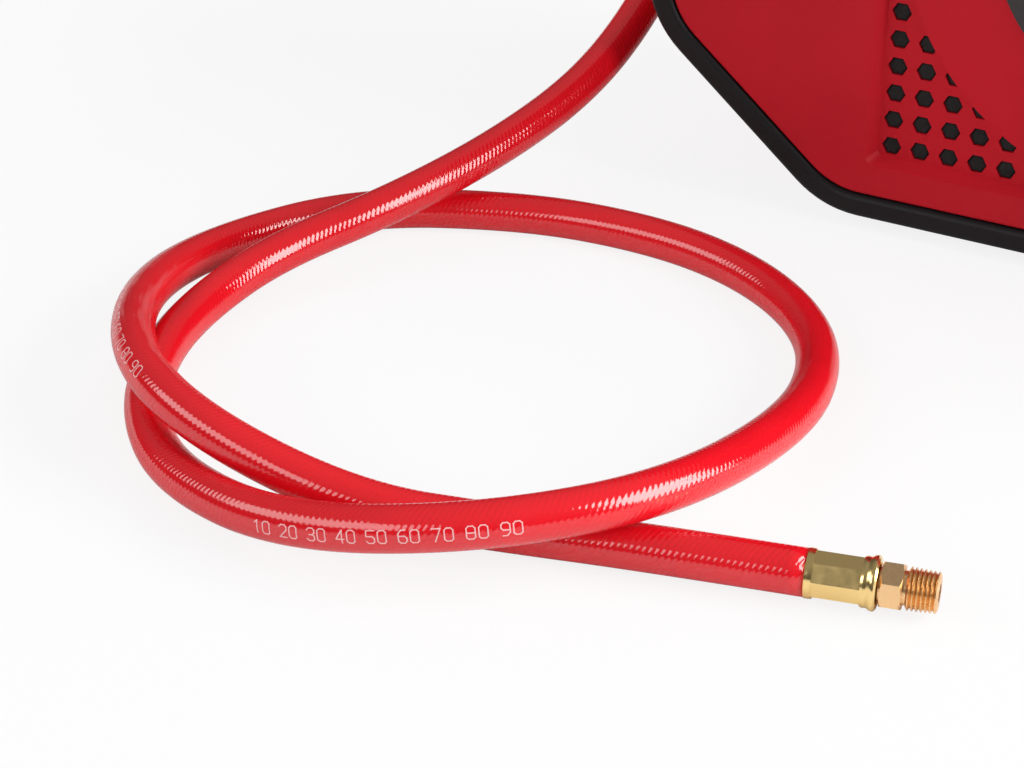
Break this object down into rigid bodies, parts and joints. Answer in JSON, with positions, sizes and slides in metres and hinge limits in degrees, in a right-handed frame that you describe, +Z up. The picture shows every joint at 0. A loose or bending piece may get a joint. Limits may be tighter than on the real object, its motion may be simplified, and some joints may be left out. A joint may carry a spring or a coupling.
{
  "type": "portable air compressor",
  "caption": "Portable air compressor in a red octagonal casing with dark rims, grille, folding handle, gauges and regulator, with a red lead hose lying in a loose loop.",
  "frame": {"origin": "on the floor under the middle of the casing", "axes": "+X along the front towards the gauges, +Y from the front grille to the back, +Z up"},
  "size_m": [0.5243, 0.5087, 0.292],
  "materials": {
    "shell_red": "matt",
    "bumper": "satin",
    "guard": "satin",
    "foam": "matt",
    "foot_rubber": "matt",
    "steel": "satin",
    "black_paint": "satin",
    "grip": "matt",
    "panel": "satin",
    "knob": "satin",
    "brass": "polished",
    "gauge_case": "gloss",
    "gauge_dial": "matt",
    "gauge_needle": "matt",
    "lens": "clear",
    "rocker": "gloss",
    "reset": "gloss",
    "inlet": "satin",
    "tank_paint": "gloss",
    "chassis": "satin",
    "aluminium": "cast",
    "iron": "matt",
    "core": "satin",
    "fan": "satin",
    "seal": "matt",
    "hose_red": "gloss"
  },
  "bodies": {
    "casing": {"front_shell": "shell_red", "rear_shell": "shell_red", "front_bumper": "bumper", "rear_bumper": "bumper", "fan_guard": "guard", "grille_screens": "foam", "rubber_feet": "foot_rubber", "shell_screws": "steel", "handle_brackets": "black_paint", "console_panel": "panel", "manifold": "aluminium", "safety_valve": "brass", "switch_panel": "panel", "power_inlet": "inlet", "inlet_blades": "brass", "chassis_plate": "chassis", "left_tank": "tank_paint", "right_tank": "tank_paint", "link_pipe": "steel", "drain_valve": "brass", "motor_mounts": "foot_rubber", "motor_housing": "aluminium", "stator": "core", "bearings": "steel", "crankcase": "aluminium", "cylinder": "aluminium", "valve_plate": "steel", "cylinder_head": "aluminium", "head_bolts": "steel", "intake_filter": "panel", "check_valve": "brass", "delivery_pipe": "aluminium", "pressure_switch": "panel", "outlet_pipe": "aluminium", "hose_elbow": "brass", "outlet_ferrule": "brass", "air_hose": "hose_red", "hose_ferrule": "brass", "hose_fitting": "brass", "tank_gauge_case": "gauge_case", "tank_gauge_dial": "gauge_dial", "tank_gauge_lens": "lens", "outlet_gauge_case": "gauge_case", "outlet_gauge_dial": "gauge_dial", "outlet_gauge_lens": "lens"},
    "crank": {"rotor": "core", "motor_shaft": "steel", "cooling_fan": "fan", "crank_disc": "iron"},
    "piston": {"piston_rod": "aluminium", "piston_seal": "seal"},
    "handle": {"carry_handle": "black_paint", "handle_grip": "grip"},
    "regulator": {"regulator_knob": "knob"},
    "tank_needle": {"tank_gauge_needle": "gauge_needle"},
    "outlet_needle": {"outlet_gauge_needle": "gauge_needle"},
    "rocker": {"power_rocker": "rocker"},
    "reset": {"reset_button": "reset"},
    "safety_pull": {"safety_ring": "steel"},
    "drain": {"drain_knob": "brass"}
  },
  "joints": [
    {"name": "crank_spin", "type": "hinge", "parent": "casing", "child": "crank", "pos_m": [0, 0, 0.136], "axis": [0, 1, 0], "continuous": true},
    {"name": "piston_slide", "type": "slide", "parent": "casing", "child": "piston", "axis": [0, 0, 1], "range_m": [0, 0.016]},
    {"name": "handle_fold", "type": "hinge", "parent": "casing", "child": "handle", "pos_m": [0, 0, 0.28], "axis": [1, 0, 0], "range_deg": [0, 90]},
    {"name": "regulator_turn", "type": "hinge", "parent": "casing", "child": "regulator", "pos_m": [0.16307, -0.0105, 0.2312], "axis": [-0.6421, 0, -0.7666], "range_deg": [0, 630]},
    {"name": "tank_needle_turn", "type": "hinge", "parent": "casing", "child": "tank_needle", "pos_m": [0.16307, -0.05, 0.2312], "axis": [-0.6421, 0, -0.7666], "range_deg": [0, 270], "stiffness_Nm_per_rad": 0.0005},
    {"name": "outlet_needle_turn", "type": "hinge", "parent": "casing", "child": "outlet_needle", "pos_m": [0.16307, 0.029, 0.2312], "axis": [-0.6421, 0, -0.7666], "range_deg": [0, 270], "stiffness_Nm_per_rad": 0.0005},
    {"name": "rocker_tilt", "type": "hinge", "parent": "casing", "child": "rocker", "pos_m": [-0.16307, -0.02, 0.2312], "axis": [-0.7666, 0, -0.6421], "range_deg": [0, 20]},
    {"name": "reset_press", "type": "slide", "parent": "casing", "child": "reset", "axis": [0.6421, 0, -0.7666], "range_m": [0, 0.003], "stiffness_N_per_m": 300, "springref_m": -0.001},
    {"name": "safety_lift", "type": "slide", "parent": "casing", "child": "safety_pull", "axis": [0.6421, 0, 0.7666], "range_m": [0, 0.004], "stiffness_N_per_m": 1000, "springref_m": -0.001},
    {"name": "drain_turn", "type": "hinge", "parent": "casing", "child": "drain", "pos_m": [-0.126, 0.085, 0.048], "axis": [0, 1, 0], "range_deg": [0, 450]}
  ]
}
